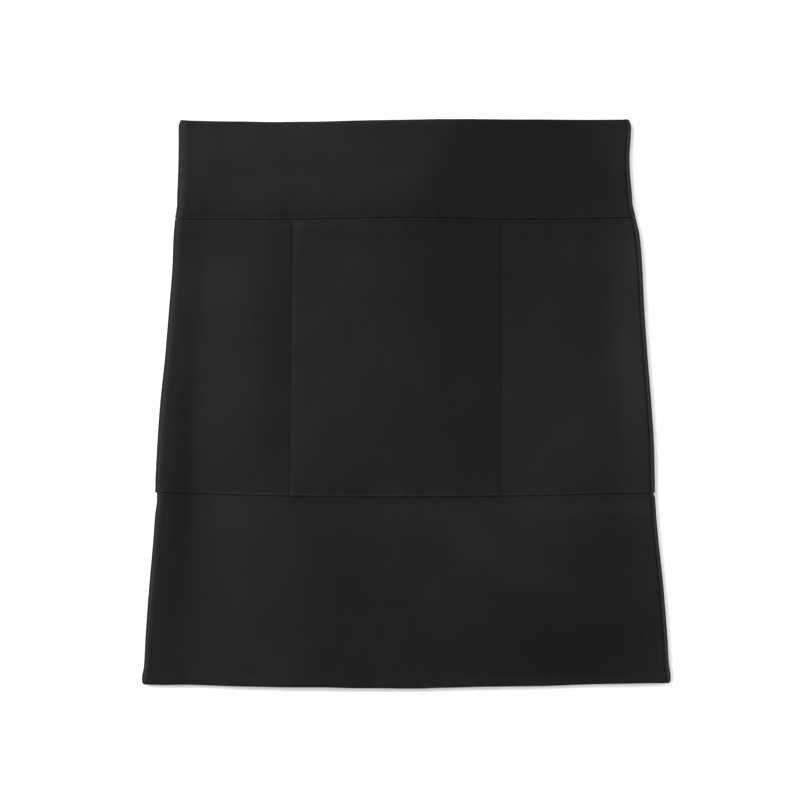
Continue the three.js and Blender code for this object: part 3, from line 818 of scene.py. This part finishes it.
def tie_rows(side):
    """Rows across the tie from its start to its foot: both edges and the cloth's normal. It runs out from the
    waistband's end, folds over on the slant and hangs straight down."""
    end = surface(0.0 if side < 0 else 7.0, SKIRT_LENGTH + BAND_HEIGHT / 2)
    half, high, low = TIE_WIDTH / 2, BACK_LEVEL, TIE_THICKNESS / 2
    start_x, hang_x = end[0] + side * TIE_TUCK, end[0] - side * TIE_REACH
    foot = end[1] - (TIE_LENGTH - TIE_TUCK - TIE_REACH)
    bend = (high - low) / 2
    up = np.array([0.0, 0.0, 1.0])
    slant = np.array([-side, 1.0, 0.0]) / math.sqrt(2)
    outer = (hang_x - side * half, end[1] - half)
    inner = (hang_x + side * half, end[1] + half)
    rows = []
    for i in range(TIE_START_ROWS):
        t = i / TIE_START_ROWS
        a = (mix(start_x, outer[0], t), outer[1], high)
        b = (mix(start_x, inner[0], t), inner[1], high)
        rows.append((np.array(a), np.array(b), up))
    for angle in np.linspace(0, math.pi, TIE_BEND_ROWS):
        z = (high + low) / 2 + bend * math.cos(angle)
        out = slant * bend * math.sin(angle)
        normal = up * math.cos(angle) + slant * math.sin(angle)
        rows.append((np.array([*outer, z]) + out, np.array([*inner, z]) + out, normal))
    for i in range(1, TIE_HANG_ROWS + 1):
        t = i / TIE_HANG_ROWS
        a = (outer[0], mix(outer[1], foot, t), low)
        b = (inner[0], mix(inner[1], foot, t), low)
        rows.append((np.array(a), np.array(b), -up))
    return rows


def tie(side, name, cad_node):
    """A strip of cloth with its edges rounded and stitched."""
    rows = tie_rows(side)
    # the strip's outline: share of its width, then of its thickness
    steps = [i / TIE_STEPS for i in range(TIE_STEPS + 1)]
    outline = [(s, 0.5) for s in steps] + [(1.012, 0.3), (1.016, 0.0), (1.012, -0.3)]
    outline += [(1 - s, -0.5) for s in steps] + [(-0.012, -0.3), (-0.016, 0.0), (-0.012, 0.3)]
    verts, uv = [], []
    length = 0.0
    before = (rows[0][0] + rows[0][1]) / 2
    for a, b, normal in rows:
        length += float(np.linalg.norm((a + b) / 2 - before))
        before = (a + b) / 2
        for s, n in outline:
            from_edge = min(clamp(s), 1 - clamp(s))
            pressed = TIE_GROOVE * near(from_edge - TIE_GROOVE_AT, TIE_GROOVE_WIDTH)
            place = a + (b - a) * mix(TIE_INSET, 1 - TIE_INSET, s)
            verts.append(place + normal * TIE_THICKNESS * n * (TIE_FILL - pressed))
            uv.append((s * TIE_WIDTH, length))
    obj = new_object(name, verts, tube_faces(len(rows), len(outline)), TIE_TWILL, uv=uv)
    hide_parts(cad_node)


tie(-1, "tie_cloth_left", "tie_left")
tie(1, "tie_cloth_right", "tie_right")

# Stitching

BEAD_SIDES = 6
BEAD_FLATNESS = 0.8
# along the stitch, then shares of the thread's radius: how thick it is there and how high it stands
BEAD = [(-0.5, 0.25, -1.0), (-0.32, 0.85, 0.0), (0.0, 1.0, 0.45), (0.32, 0.85, 0.0), (0.5, 0.25, -1.0)]
SEAM_POINTS = 1600
SEAM_END = 0.04  # how far round the apron a seam stops short of the free edge
LINE_POINTS = 500
LINE_END = 1.2  # how far below the mouth the dividers' stitches end
LOOSE_POINTS = 60
LOOSE_FOOT, LOOSE_TOP = 43, 18  # the looser run, from the mouth down

stitch_verts, stitch_faces = [], []


def stitch(qs, vs, offset, layer_n, length=2.5, gap=0.5, radius=0.2, sink=0.12):
    """Lays stitches on a layer's outer face along a path in (q, v). Each is a short bead of thread that dives
    in at both ends."""
    qs, vs = np.broadcast_arrays(np.asarray(qs, float), np.asarray(vs, float))
    dv, total = offset(qs, vs, np.full(qs.shape, layer_n))
    points = off_surface(qs, vs + dv, total)
    normals = off_surface(qs, vs + dv, total + 1.0) - points
    steps = np.linalg.norm(np.diff(points, axis=0), axis=1)
    place = np.concatenate([[0], np.cumsum(steps)])
    pitch = length + gap

    def at(values, s):
        return np.stack([np.interp(s, place, values[:, i]) for i in range(3)], -1)

    for i in range(int(place[-1] // pitch)):
        middle = (i + 0.5) * pitch
        start, end = at(points, middle - length / 2), at(points, middle + length / 2)
        normal = at(normals, middle)
        normal = normal / np.linalg.norm(normal)
        side = np.cross(normal, end - start)
        side = side / np.linalg.norm(side)
        stitch_faces.extend(tube_faces(len(BEAD), BEAD_SIDES, len(stitch_verts)))
        for s, thick, high in BEAD:
            rise = radius * high * BEAD_FLATNESS - sink
            base = (start + end) / 2 + (end - start) * s + normal * rise
            for k in range(BEAD_SIDES):
                angle = 2 * math.pi / BEAD_SIDES * k
                out = side * math.cos(angle) + normal * math.sin(angle) * BEAD_FLATNESS
                stitch_verts.append(base + radius * thick * out)


across_q = np.interp(np.linspace(0, len(Q) - 1, SEAM_POINTS), np.arange(len(Q)), Q)
across_q = across_q[(across_q > SEAM_END) & (across_q < 7 - SEAM_END)]
stitch(across_q, POCKET_FOOT + FOOT_STITCH, pocket_offset, COVERED)
for mouth_distance in MOUTH_STITCHES:
    stitch(across_q, POCKET_MOUTH - mouth_distance, pocket_offset, COVERED)
stitch(across_q, SKIRT_LENGTH + WAIST_STITCH, band_offset, PLY_REST + CLOTH)
stitch(across_q, HEM_STITCH, panel_offset, CLOTH / 2)
line_heights = np.linspace(POCKET_FOOT + FOOT_STITCH, POCKET_MOUTH - LINE_END, LINE_POINTS)
for divider in (3.0, 4.0):
    stitch(divider, line_heights, pocket_offset, COVERED)
# a looser, longer-spaced run of stitches near the top of the right line
loose_heights = np.linspace(POCKET_MOUTH - LOOSE_FOOT, POCKET_MOUTH - LOOSE_TOP, LOOSE_POINTS)
stitch(4.0, loose_heights, pocket_offset, COVERED, length=1.7, gap=1.9, radius=0.42, sink=0.04)
# those behind are pressed flat on the floor
stitch_verts = np.array(stitch_verts)
stitch_verts[:, 2] = np.maximum(stitch_verts[:, 2], 0.0)
thread = new_object("stitching", stitch_verts, stitch_faces, THREAD)

# Floor, lights and camera, in metres

FLOOR = 3.0
FLOOR_DROP = 0.0002
WORLD = 1.8
PIXEL = 0.0009  # the real width that one pixel of the photograph's frame shows
FRAME = 800
# the apron's middle stands this many pixels right of the frame's middle, and below it
RIGHT_OF_MIDDLE, BELOW_MIDDLE = 6.2, 4.0
DISTANCE = 5.0
FRONT_HEIGHT = 0.012  # of the front's middle over the floor
SENSOR = 36

floor_mesh = bpy.data.meshes.new("floor")
floor_mesh.from_pydata(
    [(-FLOOR, -FLOOR, 0), (FLOOR, -FLOOR, 0), (FLOOR, FLOOR, 0), (-FLOOR, FLOOR, 0)], [], [(0, 1, 2, 3)]
)
floor_mesh.materials.append(PAPER)
floor = bpy.data.objects.new("floor", floor_mesh)
floor.location.z = -FLOOR_DROP
bpy.context.scene.collection.objects.link(floor)


def soft_box(name, place, size, power):
    """A rectangular lamp that points at the apron's middle."""
    data = bpy.data.lights.new(name, "AREA")
    data.shape = "RECTANGLE"
    data.size, data.size_y = size
    data.energy = power
    lamp = bpy.data.objects.new(name, data)
    lamp.location = place
    lamp.rotation_euler = (-Vector(place)).to_track_quat("-Z", "Y").to_euler()
    bpy.context.scene.collection.objects.link(lamp)


# one high over the upper left, and a long low one at each side that lights the folds
soft_box("key", (-3.1, 2.6, 8.05), (4.6, 4.6), 695)
soft_box("left_strip", (-3.6, 0.6, 1.7), (4.0, 1.6), 165)
soft_box("right_strip", (3.7, 0.0, 2.0), (4.0, 1.8), 195)

world = bpy.data.worlds.new("studio")
world.use_nodes = True
sky = world.node_tree
sky.nodes.clear()
# pale walls all round, a dark ceiling above
outward = node(sky, "ShaderNodeTexCoord").outputs["Generated"]
upward = node(sky, "ShaderNodeSeparateXYZ", {"Vector": outward}).outputs["Z"]
wall_stops = [(0.2, "#ffffff"), (0.45, "#595959"), (0.9, "#000000")]
walls = node(sky, "ShaderNodeValToRGB", {"Fac": upward}, stops=wall_stops).outputs["Color"]
lit = node(sky, "ShaderNodeBackground", {"Color": walls, "Strength": WORLD})
node(sky, "ShaderNodeOutputWorld", {"Surface": lit.outputs["Background"]})
bpy.context.scene.world = world
bpy.context.scene.view_settings.view_transform = "Standard"
bpy.context.scene.view_settings.look = "None"

camera_data = bpy.data.cameras.new("camera")
camera_data.sensor_width = SENSOR
camera_data.lens = SENSOR * DISTANCE / (FRAME * PIXEL)
camera = bpy.data.objects.new("camera", camera_data)
camera.location = (-RIGHT_OF_MIDDLE * PIXEL, BELOW_MIDDLE * PIXEL, DISTANCE + FRONT_HEIGHT)
camera.rotation_euler = (0, 0, 0)
bpy.context.scene.collection.objects.link(camera)
bpy.context.scene.camera = camera
